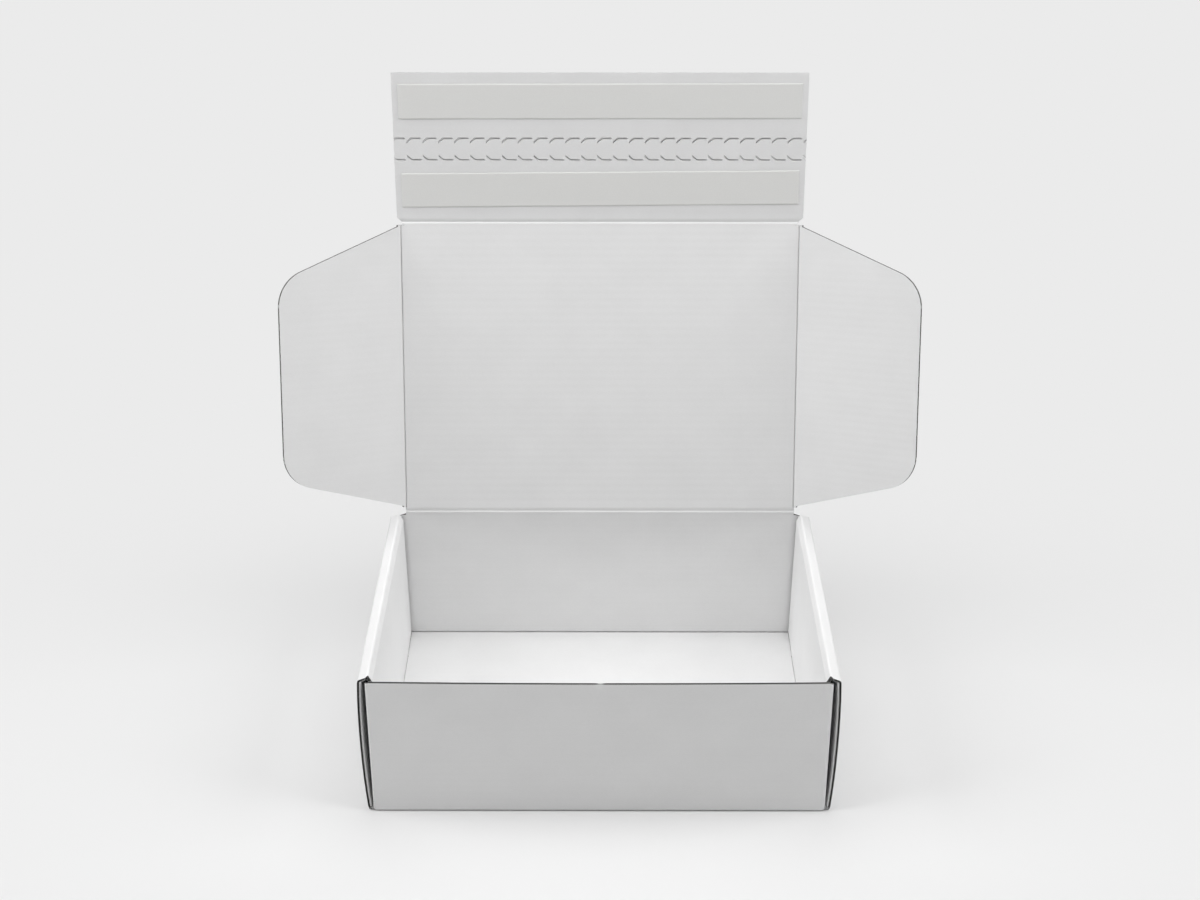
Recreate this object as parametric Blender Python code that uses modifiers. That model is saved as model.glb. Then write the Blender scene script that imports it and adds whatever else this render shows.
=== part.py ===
"""Corrugated mailer box, standing open.

The tray is one folded sheet with rolled double side walls. The lid hinges on its
back wall and carries two dust flaps and a closing flap with a tear strip and two
strips of adhesive under release liners.

X runs to the right, Y to the back and Z up. The origin is the middle of the
tray's underside.
"""
import math

import bmesh
import bpy
from mathutils import Matrix, Vector

MM = 0.001

# Corrugated board, and how tightly it folds at the middle of its thickness
BOARD = 2.8 * MM
FOLD_RADIUS = 1.8 * MM
FOLD_STEPS = 4

# Clearances
CONTACT_GAP = 0.3 * MM
FILM_GAP = 0.2 * MM
WALL_END_GAP = 0.6 * MM
SLOT_GAP = 0.35 * MM

# Inside of the closed box
INNER_WIDTH = 350.4 * MM
INNER_DEPTH = 252.5 * MM
WALL_HEIGHT = 127.0 * MM

# Rolled side walls, seen from the inner wall outwards
INNER_WALL_LEAN = 1.4 * MM
OUTER_WALL_LEAN = 2.0 * MM
OUTER_WALL_GAP = 1.2 * MM
STRIP_RISE = 3.4 * MM
CORNER_RELIEF = 2.6 * MM

# Corner tabs of the front and back walls, and lock tabs of the inner side walls
TAB_LENGTH = 100.0 * MM
TAB_DROP = 0.4 * MM
TAB_FOOT_GAP = 0.4 * MM
TAB_CORNER = 12.0 * MM
LOCK_TAB_LENGTH = 50.0 * MM
LOCK_TAB_CENTRE = 62.0 * MM

# Lid, leaning back from upright
LID_LEAN_DEG = 16.8
DUST_FLAP_SIDE_GAP = 0.1 * MM

# Dust flaps: an outline with a slant at each end and two round corners. Closed, they
# hang a little above the base
DUST_FLAP_BASE_GAP = 13.4 * MM
DUST_FLAP_FOLD_DEG = 32.4
DUST_FLAP_FOOT = 3.8 * MM
DUST_FLAP_HEAD = 3.8 * MM
DUST_FLAP_FOOT_SLANT_DEG = 16.8
DUST_FLAP_HEAD_SLANT_DEG = 20.6
DUST_FLAP_CORNER = 32.0 * MM
CORNER_STEPS = 8

# Closing flap. Closed, it hangs a little above what the box stands on
CLOSING_FLAP_FLOOR_GAP = 3.8 * MM
CLOSING_FLAP_OVERHANG = 4.8 * MM
CLOSING_FLAP_FOLD_DEG = 11.2
CLOSING_FLAP_ROOT_CUT = 3.6 * MM
CLOSING_FLAP_CLEARANCE = 0.3 * MM

# Tear strip: two rows of perforation cuts across the closing flap, a bridge between
# each cut and the next
TEAR_LOW = 54.0 * MM
TEAR_HIGH = 72.6 * MM
TEAR_CUTS = 26
CUT_BRIDGE = 2.0 * MM
CUT_SLANT_RUN = 3.6 * MM
CUT_SLANT_RISE = 3.5 * MM
CUT_WIDTH = 0.6 * MM

# Adhesive strips under their release liners, on the closing flap's inner face: for each,
# how far its middle is from the flap's hinge, and how many degrees it is askew
LINER_SIDE_MARGIN = 5.1 * MM
LINER_HEIGHT = 30.0 * MM
LINER_THICKNESS = 0.3 * MM
ADHESIVE_THICKNESS = 0.3 * MM
ADHESIVE_INSET = 4.0 * MM
CLOSURE_STRIPS = (
    ("lower", 28.8 * MM, 0.5),
    ("upper", 104.8 * MM, 0.1),
)

# Share of the board's thickness rounded off at each side of a hinged edge
HINGE_ROUNDING = 0.47
HINGE_STEPS = 3

# Points closer than this are the same point
SAME = 0.01 * MM

HALF_BOARD = BOARD / 2


def fillet(before, corner, after):
    """Points of the arc that rounds a corner of a folded section, and its centre."""
    before = Vector(before)
    corner = Vector(corner)
    after = Vector(after)
    arriving = (before - corner).normalized()
    leaving = (after - corner).normalized()
    half_angle = arriving.angle(leaving) / 2
    centre = corner + (arriving + leaving).normalized() * FOLD_RADIUS / math.sin(half_angle)
    first = corner + arriving * FOLD_RADIUS / math.tan(half_angle) - centre
    turn = (math.pi - 2 * half_angle) / FOLD_STEPS
    if arriving.y * leaving.x - arriving.x * leaving.y < 0:
        turn = -turn
    points = []
    for step in range(FOLD_STEPS + 1):
        points.append(centre + Matrix.Rotation(turn * step, 2) @ first)
    return points, centre


# Middle of the board in each layer of a side wall, at the level of the underside
INNER_WALL_X = INNER_WIDTH / 2 + HALF_BOARD
TAB_X = INNER_WALL_X + INNER_WALL_LEAN + BOARD + CONTACT_GAP
OUTER_WALL_X = TAB_X + BOARD + OUTER_WALL_GAP
TAB_TOP = WALL_HEIGHT - TAB_DROP
TAB_FOOT = HALF_BOARD + FOLD_RADIUS + TAB_FOOT_GAP

# Corners of a side wall's section, with the top strip just clear of the tabs
STRIP_SLOPE = STRIP_RISE / (OUTER_WALL_X + OUTER_WALL_LEAN - INNER_WALL_X - INNER_WALL_LEAN)
STRIP_HALF_DEPTH = HALF_BOARD * math.sqrt(1 + STRIP_SLOPE ** 2)
STRIP_LOW = (
    TAB_TOP + CONTACT_GAP + STRIP_HALF_DEPTH
    - (OUTER_WALL_X + OUTER_WALL_LEAN - TAB_X - HALF_BOARD) * STRIP_SLOPE
)
SIDE_FOOT = Vector((OUTER_WALL_X, HALF_BOARD))
OUTER_CREASE = Vector((OUTER_WALL_X + OUTER_WALL_LEAN, STRIP_LOW))
INNER_CREASE = Vector((INNER_WALL_X + INNER_WALL_LEAN, STRIP_LOW + STRIP_RISE))
INNER_WALL_FOOT = Vector((INNER_WALL_X, BOARD + CONTACT_GAP))
LOCK_TAB_FOOT = Vector((INNER_WALL_X, CONTACT_GAP))

# Front and back walls
WALL_Y = INNER_DEPTH / 2 + HALF_BOARD
WALL_END_Y = INNER_DEPTH / 2 - WALL_END_GAP
SIDE_WALL_END_Y = WALL_Y + HALF_BOARD - WALL_END_GAP

# Lid hinge: closed, the lid lies just clear of the rolled side walls
STRIP_TOP = fillet(OUTER_CREASE, INNER_CREASE, INNER_WALL_FOOT)[1].y + FOLD_RADIUS + HALF_BOARD
HINGE_Y = WALL_Y
HINGE_Z = STRIP_TOP + CONTACT_GAP + HALF_BOARD
BACK_WALL_TOP = HINGE_Z - HALF_BOARD - CONTACT_GAP

# Closed, the closing flap hangs in front of the front wall with its liners between
FILM_STACK = 2 * FILM_GAP + ADHESIVE_THICKNESS + LINER_THICKNESS
LID_LENGTH = HINGE_Y + WALL_Y + BOARD + FILM_STACK + CLOSING_FLAP_CLEARANCE

# Closed, the dust flaps stand just inside the inner side walls
DUST_HINGE_X = INNER_WIDTH / 2 - DUST_FLAP_SIDE_GAP - HALF_BOARD
LID_HALF_WIDTH = DUST_HINGE_X - HALF_BOARD - CONTACT_GAP
DUST_FLAP_DEPTH = HINGE_Z - BOARD - DUST_FLAP_BASE_GAP

CLOSING_FLAP_LENGTH = HINGE_Z - CLOSING_FLAP_FLOOR_GAP
CLOSING_FLAP_WIDTH = 2 * (LID_HALF_WIDTH + CLOSING_FLAP_OVERHANG)
LINER_WIDTH = CLOSING_FLAP_WIDTH - 2 * LINER_SIDE_MARGIN


def remove_all_objects():
    """Empty the scene."""
    for thing in list(bpy.data.objects):
        bpy.data.objects.remove(thing, do_unlink=True)


def collection(name):
    """A new collection in the scene."""
    group = bpy.data.collections.new(name)
    bpy.context.scene.collection.children.link(group)
    return group


def material(name, colour, roughness):
    """A plain Principled material."""
    result = bpy.data.materials.new(name)
    result.use_nodes = True
    shader = result.node_tree.nodes["Principled BSDF"]
    shader.inputs["Base Color"].default_value = (*colour, 1.0)
    shader.inputs["Roughness"].default_value = roughness
    shader.inputs["Metallic"].default_value = 0.0
    result.diffuse_color = (*colour, 1.0)
    return result


def new_object(name, mesh, group, finish=None):
    """An object that holds a mesh, in a collection, with a material."""
    thing = bpy.data.objects.new(name, mesh)
    group.objects.link(thing)
    if finish is not None:
        mesh.materials.append(finish)
    return thing


def place(thing, parent, location, rotation_deg):
    """Set an object on its hinge axis, under the piece that carries it."""
    thing.parent = parent
    thing.location = location
    thing.rotation_euler = [math.radians(angle) for angle in rotation_deg]


def flat_outlines(name, outlines, half_thickness):
    """A mesh of one or more flat outlines with a thickness, made as 2D curves."""
    curve = bpy.data.curves.new(name + "_outline", "CURVE")
    curve.dimensions = "2D"
    curve.fill_mode = "BOTH"
    curve.extrude = half_thickness
    for outline in outlines:
        spline = curve.splines.new("POLY")
        spline.points.add(len(outline) - 1)
        for point, (x, y) in zip(spline.points, outline):
            point.co = (x, y, 0.0, 1.0)
        spline.use_cyclic_u = True
    holder = bpy.data.objects.new(name + "_outline", curve)
    bpy.context.scene.collection.objects.link(holder)
    evaluated = holder.evaluated_get(bpy.context.evaluated_depsgraph_get())
    mesh = bpy.data.meshes.new_from_object(evaluated)
    mesh.name = name
    bpy.data.objects.remove(holder)
    bpy.data.curves.remove(curve)
    bm = bmesh.new()
    bm.from_mesh(mesh)
    bmesh.ops.remove_doubles(bm, verts=bm.verts, dist=SAME)
    bmesh.ops.dissolve_limit(bm, angle_limit=math.radians(0.1), verts=bm.verts, edges=bm.edges)
    bmesh.ops.recalc_face_normals(bm, faces=bm.faces)
    bm.to_mesh(mesh)
    bm.free()
    mesh.materials.clear()
    return mesh


def round_hinged_edge(mesh, along, level):
    """Round off both long edges of a board where it turns about its hinge axis."""
    across = 1 - along
    bm = bmesh.new()
    bm.from_mesh(mesh)
    rims = []
    for edge in bm.edges:
        low, high = (vert.co for vert in edge.verts)
        on_level = abs(low[across] - level) < SAME and abs(high[across] - level) < SAME
        if on_level and abs(low.z - high.z) < SAME:
            rims.append(edge)
    bmesh.ops.bevel(
        bm,
        geom=rims,
        offset=BOARD * HINGE_ROUNDING,
        segments=HINGE_STEPS,
        profile=0.5,
        affect="EDGES",
        clamp_overlap=False,
        material=-1,
    )
    bm.to_mesh(mesh)
    bm.free()


def boundary_edges(bm, belongs):
    """Open edges of a sheet whose two ends pass a test."""
    found = []
    for edge in bm.edges:
        if edge.is_boundary and all(belongs(vert.co) for vert in edge.verts):
            found.append(edge)
    return found


def pull(bm, edges, steps):
    """Extrude the open edges of a sheet along a list of moves, and return the last edges."""
    for step in steps:
        result = bmesh.ops.extrude_edge_only(bm, edges=edges)
        moved = [item for item in result["geom"] if isinstance(item, bmesh.types.BMVert)]
        edges = [item for item in result["geom"] if isinstance(item, bmesh.types.BMEdge)]
        bmesh.ops.translate(bm, verts=moved, vec=step)
        edges = [edge for edge in edges if all(vert in moved for vert in edge.verts)]
    return edges


def moves(points, to_3d):
    """The moves from each point of a section to the next."""
    return [to_3d(after - before) for before, after in zip(points, points[1:])]


def end_edges_at(edges, front, back):
    """Move the front and back ends of a row of edges to new places along Y."""
    verts = {vert for edge in edges for vert in edge.verts}
    front_now = min(vert.co.y for vert in verts)
    back_now = max(vert.co.y for vert in verts)
    for vert in verts:
        if abs(vert.co.y - front_now) < SAME:
            vert.co.y = front
        elif abs(vert.co.y - back_now) < SAME:
            vert.co.y = back


def base_panel(bm):
    """The base, divided where the front wall, the back wall and the lock tabs begin."""
    half_x = OUTER_WALL_X - FOLD_RADIUS
    half_y = WALL_Y - FOLD_RADIUS
    bmesh.ops.create_grid(bm, x_segments=1, y_segments=1, size=1.0)
    bmesh.ops.scale(bm, vec=(half_x, half_y, 1.0), verts=bm.verts)
    bmesh.ops.translate(bm, vec=(0.0, 0.0, HALF_BOARD), verts=bm.verts)
    cuts = [Vector((side * (TAB_X - FOLD_RADIUS), 0.0, 0.0)) for side in (-1, 1)]
    for centre in (-LOCK_TAB_CENTRE, LOCK_TAB_CENTRE):
        for end in (-LOCK_TAB_LENGTH / 2, LOCK_TAB_LENGTH / 2):
            cuts.append(Vector((0.0, centre + end, 0.0)))
    for cut in cuts:
        geometry = list(bm.verts) + list(bm.edges) + list(bm.faces)
        normal = (1.0, 0.0, 0.0) if cut.x else (0.0, 1.0, 0.0)
        bmesh.ops.bisect_plane(bm, geom=geometry, plane_co=cut, plane_no=normal, dist=SAME / 10)


def end_wall(bm, facing, height):
    """A front or back wall, with a corner tab folded round from each end."""
    half_x = TAB_X - FOLD_RADIUS
    fold_y = WALL_Y - FOLD_RADIUS
    edges = boundary_edges(
        bm,
        lambda co: abs(co.y - facing * fold_y) < SAME
        and abs(co.x) < half_x + SAME
        and abs(co.z - HALF_BOARD) < SAME,
    )
    fold = fillet((0.0, HALF_BOARD), (WALL_Y, HALF_BOARD), (WALL_Y, height))[0]
    levels = [Vector((WALL_Y, level)) for level in (TAB_FOOT, TAB_TOP, height)]
    pull(bm, edges, moves(fold + levels, lambda step: Vector((0.0, facing * step.x, step.y))))
    for side in (-1, 1):
        corner_tab(bm, side, facing)


def corner_tab(bm, side, facing):
    """A tab that lies between the outer and inner side walls, with cut corners."""
    start_x = TAB_X - FOLD_RADIUS
    edges = boundary_edges(
        bm,
        lambda co: abs(co.x - side * start_x) < SAME
        and abs(co.y - facing * WALL_Y) < SAME
        and TAB_FOOT - SAME < co.z < TAB_TOP + SAME,
    )
    free_end = WALL_Y - TAB_LENGTH
    fold = fillet((0.0, WALL_Y), (TAB_X, WALL_Y), (TAB_X, free_end))[0]
    section = fold + [Vector((TAB_X, free_end + TAB_CORNER)), Vector((TAB_X, free_end))]
    last = pull(bm, edges, moves(section, lambda step: Vector((side * step.x, facing * step.y, 0.0))))
    for vert in {vert for edge in last for vert in edge.verts}:
        vert.co.z += TAB_CORNER if vert.co.z < WALL_HEIGHT / 2 else -TAB_CORNER


def side_wall(bm, side):
    """An outer side wall rolled over the corner tabs, with the inner wall and its lock tabs."""

    def to_3d(step):
        return Vector((side * step.x, 0.0, step.y))

    half_x = OUTER_WALL_X - FOLD_RADIUS
    edges = boundary_edges(
        bm,
        lambda co: abs(co.x - side * half_x) < SAME and abs(co.z - HALF_BOARD) < SAME,
    )
    foot = fillet((0.0, HALF_BOARD), SIDE_FOOT, OUTER_CREASE)[0]
    outer = fillet(SIDE_FOOT, OUTER_CREASE, INNER_CREASE)[0]
    inner = fillet(OUTER_CREASE, INNER_CREASE, INNER_WALL_FOOT)[0]
    relief = foot[-1] + (OUTER_CREASE - SIDE_FOOT).normalized() * CORNER_RELIEF

    edges = pull(bm, edges, moves(foot + [relief], to_3d))
    end_edges_at(edges, -SIDE_WALL_END_Y, SIDE_WALL_END_Y)
    edges = pull(bm, edges, moves([relief] + outer[:2], to_3d))
    end_edges_at(edges, -SIDE_WALL_END_Y, WALL_END_Y)
    edges = pull(bm, edges, moves(outer[1:] + inner[:1], to_3d))
    edges = pull(bm, edges, moves(inner[:2], to_3d))
    end_edges_at(edges, -WALL_END_Y, WALL_END_Y)
    edges = pull(bm, edges, moves(inner[1:] + [INNER_WALL_FOOT], to_3d))

    lock_edges = []
    for edge in edges:
        middle = abs(edge.verts[0].co.y + edge.verts[1].co.y) / 2
        if abs(middle - LOCK_TAB_CENTRE) < LOCK_TAB_LENGTH / 2:
            lock_edges.append(edge)
    pull(bm, lock_edges, moves([INNER_WALL_FOOT, LOCK_TAB_FOOT], to_3d))


def slot_cutter(group):
    """Four boxes that cut the lock tabs' slots through the base."""
    bm = bmesh.new()
    size = (BOARD + 2 * SLOT_GAP, LOCK_TAB_LENGTH + 2 * SLOT_GAP, 3 * BOARD)
    for side in (-1, 1):
        for centre in (-LOCK_TAB_CENTRE, LOCK_TAB_CENTRE):
            place_matrix = Matrix.Translation((side * INNER_WALL_X, centre, HALF_BOARD))
            bmesh.ops.create_cube(bm, size=1.0, matrix=place_matrix @ Matrix.Diagonal((*size, 1.0)))
    mesh = bpy.data.meshes.new("slot_cutter")
    bm.to_mesh(mesh)
    bm.free()
    cutter = new_object("slot_cutter", mesh, group)
    cutter.display_type = "WIRE"
    cutter.hide_render = True
    return cutter


def make_tray(group, cutters, finish):
    """The whole tray as one folded sheet of board."""
    bm = bmesh.new()
    base_panel(bm)
    end_wall(bm, -1, WALL_HEIGHT)
    end_wall(bm, 1, BACK_WALL_TOP)
    for side in (-1, 1):
        side_wall(bm, side)
    bmesh.ops.recalc_face_normals(bm, faces=bm.faces)
    mesh = bpy.data.meshes.new("tray")
    bm.to_mesh(mesh)
    bm.free()
    tray = new_object("tray", mesh, group, finish)
    board = tray.modifiers.new("board", "SOLIDIFY")
    board.thickness = BOARD
    board.offset = 0.0
    board.use_even_offset = True
    slots = tray.modifiers.new("slots", "BOOLEAN")
    slots.operation = "DIFFERENCE"
    slots.object = slot_cutter(cutters)


def make_lid(group, finish):
    """The lid panel, its root rounded about the hinge on the back wall."""
    root = -HALF_BOARD
    head = LID_LENGTH - HALF_BOARD - CONTACT_GAP
    outline = [
        (-LID_HALF_WIDTH, root),
        (LID_HALF_WIDTH, root),
        (LID_HALF_WIDTH, head),
        (-LID_HALF_WIDTH, head),
    ]
    mesh = flat_outlines("lid_panel", [outline], HALF_BOARD)
    round_hinged_edge(mesh, 0, root)
    lid = new_object("lid_panel", mesh, group, finish)
    place(lid, None, (0.0, HINGE_Y, HINGE_Z), (90.0 - LID_LEAN_DEG, 0.0, 0.0))
    return lid


def rounded_corner(centre, start_deg, end_deg):
    """Points along a dust flap's round corner."""
    points = []
    for step in range(CORNER_STEPS + 1):
        angle = math.radians(start_deg + (end_deg - start_deg) * step / CORNER_STEPS)
        points.append(centre + Vector((math.cos(angle), math.sin(angle))) * DUST_FLAP_CORNER)
    return points


def dust_flap_outline():
    """A dust flap's outline: X away from its crease, Y along the lid from the lid's hinge."""
    root = -HALF_BOARD
    foot = DUST_FLAP_FOOT
    head = LID_LENGTH - DUST_FLAP_HEAD
    foot_slant = math.radians(DUST_FLAP_FOOT_SLANT_DEG)
    head_slant = math.radians(DUST_FLAP_HEAD_SLANT_DEG)
    centre_x = DUST_FLAP_DEPTH - DUST_FLAP_CORNER
    foot_rise = centre_x * math.tan(foot_slant) + DUST_FLAP_CORNER / math.cos(foot_slant)
    head_fall = centre_x * math.tan(head_slant) + DUST_FLAP_CORNER / math.cos(head_slant)
    foot_centre = Vector((centre_x, foot + foot_rise))
    head_centre = Vector((centre_x, head - head_fall))
    outline = [Vector((root, foot)), Vector((0.0, foot))]
    outline += rounded_corner(foot_centre, -90.0 + DUST_FLAP_FOOT_SLANT_DEG, 0.0)
    outline += rounded_corner(head_centre, 0.0, 90.0 - DUST_FLAP_HEAD_SLANT_DEG)
    outline += [Vector((0.0, head)), Vector((root, head))]
    return outline


def make_dust_flap(name, side, lid, group, finish):
    """A dust flap on the left (-1) or right (1) edge of the lid, folded a little forward."""
    outline = [(side * point.x, point.y) for point in dust_flap_outline()]
    mesh = flat_outlines(name, [outline], HALF_BOARD)
    round_hinged_edge(mesh, 1, -side * HALF_BOARD)
    flap = new_object(name, mesh, group, finish)
    place(flap, lid, (side * DUST_HINGE_X, 0.0, 0.0), (0.0, -side * DUST_FLAP_FOLD_DEG, 0.0))


def tear_cut(left, right, level, slant):
    """One perforation cut: a short slant up or down to a straight run to the right."""
    half = CUT_WIDTH / 2
    bend = half * math.tan(math.atan2(CUT_SLANT_RISE, CUT_SLANT_RUN) / 2)
    run = Vector((CUT_SLANT_RUN, CUT_SLANT_RISE)).normalized()
    side_step = Vector((-run.y, run.x)) * half
    knee = Vector((CUT_SLANT_RUN, 0.0))
    tip = Vector((0.0, -CUT_SLANT_RISE))
    end = right - left
    points = [
        tip + side_step,
        tip - side_step,
        knee + Vector((bend, -half)),
        Vector((end, -half)),
        Vector((end, half)),
        knee + Vector((-bend, half)),
    ]
    return [(left + point.x, level + slant * point.y) for point in points]


def tear_cutter(flap, group):
    """Every perforation cut of the tear strip, as thin blades through the closing flap."""
    pitch = CLOSING_FLAP_WIDTH / TEAR_CUTS
    outlines = []
    for index in range(TEAR_CUTS):
        left = (index - TEAR_CUTS / 2) * pitch + CUT_BRIDGE / 2
        right = left + pitch - CUT_BRIDGE
        outlines.append(tear_cut(left, right, TEAR_HIGH, 1))
        outlines.append(tear_cut(left, right, TEAR_LOW, -1))
    mesh = flat_outlines("tear_cutter", outlines, BOARD)
    cutter = new_object("tear_cutter", mesh, group)
    cutter.parent = flap
    cutter.display_type = "WIRE"
    cutter.hide_render = True
    return cutter


def make_closing_flap(lid, group, cutters, finish):
    """The closing flap, with its root corners cut off and its tear strip perforated."""
    half = CLOSING_FLAP_WIDTH / 2
    root = -HALF_BOARD
    head = CLOSING_FLAP_LENGTH
    cut = CLOSING_FLAP_ROOT_CUT
    outline = [
        (-half + cut, root),
        (half - cut, root),
        (half - cut, HALF_BOARD),
        (half, HALF_BOARD + cut),
        (half, head),
        (-half, head),
        (-half, HALF_BOARD + cut),
        (-half + cut, HALF_BOARD),
    ]
    mesh = flat_outlines("closing_flap", [outline], HALF_BOARD)
    round_hinged_edge(mesh, 0, root)
    flap = new_object("closing_flap", mesh, group, finish)
    place(flap, lid, (0.0, LID_LENGTH, 0.0), (CLOSING_FLAP_FOLD_DEG, 0.0, 0.0))
    perforation = flap.modifiers.new("tear_strip", "BOOLEAN")
    perforation.operation = "DIFFERENCE"
    perforation.object = tear_cutter(flap, cutters)
    return flap


def make_film(name, flap, size, centre, turn_deg, group, finish):
    """A thin strip that lies flat over the closing flap's inner face."""
    bm = bmesh.new()
    bmesh.ops.create_cube(bm, size=1.0, matrix=Matrix.Diagonal((*size, 1.0)))
    mesh = bpy.data.meshes.new(name)
    bm.to_mesh(mesh)
    bm.free()
    film = new_object(name, mesh, group, finish)
    place(film, flap, centre, (0.0, 0.0, turn_deg))


def make_closure_strip(which, centre_y, turn_deg, flap, group, adhesive, liner):
    """A strip of adhesive and the release liner that covers it."""
    width = LINER_WIDTH - 2 * ADHESIVE_INSET
    height = LINER_HEIGHT - 2 * ADHESIVE_INSET
    size = (width, height, ADHESIVE_THICKNESS)
    centre = (0.0, centre_y, HALF_BOARD + FILM_GAP + ADHESIVE_THICKNESS / 2)
    make_film("adhesive_strip_" + which, flap, size, centre, turn_deg, group, adhesive)

    size = (LINER_WIDTH, LINER_HEIGHT, LINER_THICKNESS)
    centre = (0.0, centre_y, HALF_BOARD + FILM_STACK - LINER_THICKNESS / 2)
    make_film("release_liner_" + which, flap, size, centre, turn_deg, group, liner)


def main():
    remove_all_objects()
    parts = collection("mailer_box")
    cutters = collection("cutters")
    board = material("white_lined_board", (0.80, 0.80, 0.79), 0.75)
    adhesive = material("hot_melt_adhesive", (0.62, 0.58, 0.46), 0.35)
    liner = material("silicone_release_paper", (0.61, 0.61, 0.59), 0.45)

    make_tray(parts, cutters, board)
    lid = make_lid(parts, board)
    make_dust_flap("dust_flap_left", -1, lid, parts, board)
    make_dust_flap("dust_flap_right", 1, lid, parts, board)
    flap = make_closing_flap(lid, parts, cutters, board)
    for which, centre_y, turn_deg in CLOSURE_STRIPS:
        make_closure_strip(which, centre_y, turn_deg, flap, parts, adhesive, liner)


main()
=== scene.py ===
"""Looks of the open corrugated mailer box: its board, with real flutes between two paper liners, is
modelled flat as the die-cut blank and then folded to the CAD model's sizes."""

import bmesh
import bpy
import math
from mathutils import Matrix, Vector


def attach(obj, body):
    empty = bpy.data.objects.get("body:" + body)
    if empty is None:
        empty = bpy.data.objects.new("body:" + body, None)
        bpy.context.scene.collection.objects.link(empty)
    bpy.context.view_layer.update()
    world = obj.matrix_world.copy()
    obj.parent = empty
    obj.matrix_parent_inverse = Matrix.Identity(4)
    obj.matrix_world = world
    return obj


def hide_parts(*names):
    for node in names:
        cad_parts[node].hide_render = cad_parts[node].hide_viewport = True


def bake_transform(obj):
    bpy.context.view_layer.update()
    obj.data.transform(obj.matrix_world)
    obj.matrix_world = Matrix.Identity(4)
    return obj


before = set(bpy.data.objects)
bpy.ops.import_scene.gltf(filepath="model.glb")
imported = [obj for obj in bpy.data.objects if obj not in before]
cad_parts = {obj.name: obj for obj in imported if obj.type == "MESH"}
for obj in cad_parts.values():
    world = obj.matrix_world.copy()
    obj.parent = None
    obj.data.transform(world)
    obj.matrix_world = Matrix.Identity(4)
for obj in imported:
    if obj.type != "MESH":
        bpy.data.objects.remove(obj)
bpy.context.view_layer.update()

MM = 0.001

# Board: B-flute, a wavy medium between two liners
BOARD = 2.8 * MM
HALF_BOARD = BOARD / 2
LINER = 0.28 * MM
MEDIUM = 0.20 * MM
FLUTE_PITCH = 6.42 * MM
FLUTE_SWING = HALF_BOARD - LINER - MEDIUM / 2
FLUTE_SAMPLES = 8
TRAY_FLUTE_SAMPLES = 4  # fewer, as hardly any cut edge of the tray shows its waves
FLUTE_START = -127.65 * MM
SAME = 0.002 * MM  # places this close are one place

# Tray sizes: middles of the board's layers, within 2 mm of the CAD model's
FOOT_RADIUS = 0.35 * MM
CORNER_RADIUS = 0.5 * MM
ROLL_RADIUS = 1.8 * MM
ROLL_INNER_RADIUS = 0.5 * MM
CRUSH_REACH = 1.9 * MM
CRUSHED_SHARE = 0.3
BEND_SUPPORT = 0.3 * MM
BEND_STEP = math.radians(15)
TIGHT_TURN = math.radians(45)
WALL_Y = 127.65 * MM
WALL_TOP = 127.0 * MM
WALL_RUN = 150.0 * MM  # past the top of every wall
TAB_X = 181.1 * MM
TAB_FOOT = 3.6 * MM
TAB_TOP = 126.6 * MM
TAB_SLOPE = (5.0 * MM, 3.0 * MM)  # run from the corner, and fall
TAB_LENGTH = 100.0 * MM
TAB_CORNER = 12.0 * MM
OUTER_WALL_X = 185.1 * MM
OUTER_CREASE = (187.1 * MM, 126.676 * MM)
ROLL_TOP = (180.7 * MM, 129.3 * MM)
ROLL_SHOULDER = (178.2 * MM, 124.5 * MM)
INNER_WALL_X = 176.6 * MM
INNER_WALL_FOOT = 3.1 * MM
LOCK_TAB_FOOT = 0.3 * MM
LOCK_TAB_CENTRE = 62.0 * MM
LOCK_TAB_HALF = 25.0 * MM
SLOT_GAP = 0.35 * MM
LIP_END = 183.4 * MM
CORNER_RELIEF = 2.6 * MM
CORNER_ANGLES = range(0, 91, 15)
SIDE_END = 128.45 * MM
INNER_END = 125.65 * MM
INNER_BACK_END = 123.4 * MM
OUTER_WALL_BOW = 2.1 * MM
BOW_POWER = 0.7
EDGE_CRUSH = 0.6 * MM
EDGE_CRUSH_REACH = 2.0 * MM
FRONT_BULGE = (1.0 * MM, 1.7 * MM)  # at its ends, and more in its middle
FRONT_TRIM = 0.9 * MM
FRONT_LIFT = 0.8 * MM
FRONT_FOOT = 0.7 * MM
FRONT_LIFT_REACH = 35.0 * MM
EDGE_PINCH = (1.0 * MM, 2.4 * MM)  # place across, and width
PINCH_REACH = 5.0 * MM
PINCH_SHARE = 0.7
FOOT_LIFT = 3.0 * MM

# Hinges and flaps
HINGE = Vector((0.0, 127.65 * MM, 132.392 * MM))
LID_LEAN = math.radians(16.8)
LID_LENGTH = 259.4 * MM
LID_HALF_WIDTH = 172.0 * MM
LID_CREASE_HALF = 174.4 * MM
DUST_HINGE_X = 173.7 * MM
DUST_FLAP_FOLD = math.radians(32.4)
DUST_FLAP_DEPTH = 116.192 * MM
DUST_FLAP_END = 3.8 * MM
DUST_FLAP_FOOT_SLANT = math.radians(16.8)
DUST_FLAP_HEAD_SLANT = math.radians(20.6)
DUST_FLAP_CORNER = 32.0 * MM
CLOSING_FLAP_FOLD = math.radians(11.2)
CLOSING_FLAP_LENGTH = 128.592 * MM
CLOSING_FLAP_HALF = 176.8 * MM
ROOT_CUT = 3.6 * MM
ROOT_DROP = 0.2 * MM
ROOT_CREASE_SHIFT = -1.2 * MM
CREASE_REACH = 3.5 * MM
CREASE_RADIUS = 2.6 * MM
LID_GROOVE = (0.75 * MM, 0.8 * MM, 1.3 * MM)  # depth, steep side and gentle side
DUST_GROOVE = (1.8 * MM, 0.5 * MM, 0.6 * MM)
GROOVE_BACK = 0.12 * MM
CREASE_ARM = 10.0 * MM

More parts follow.
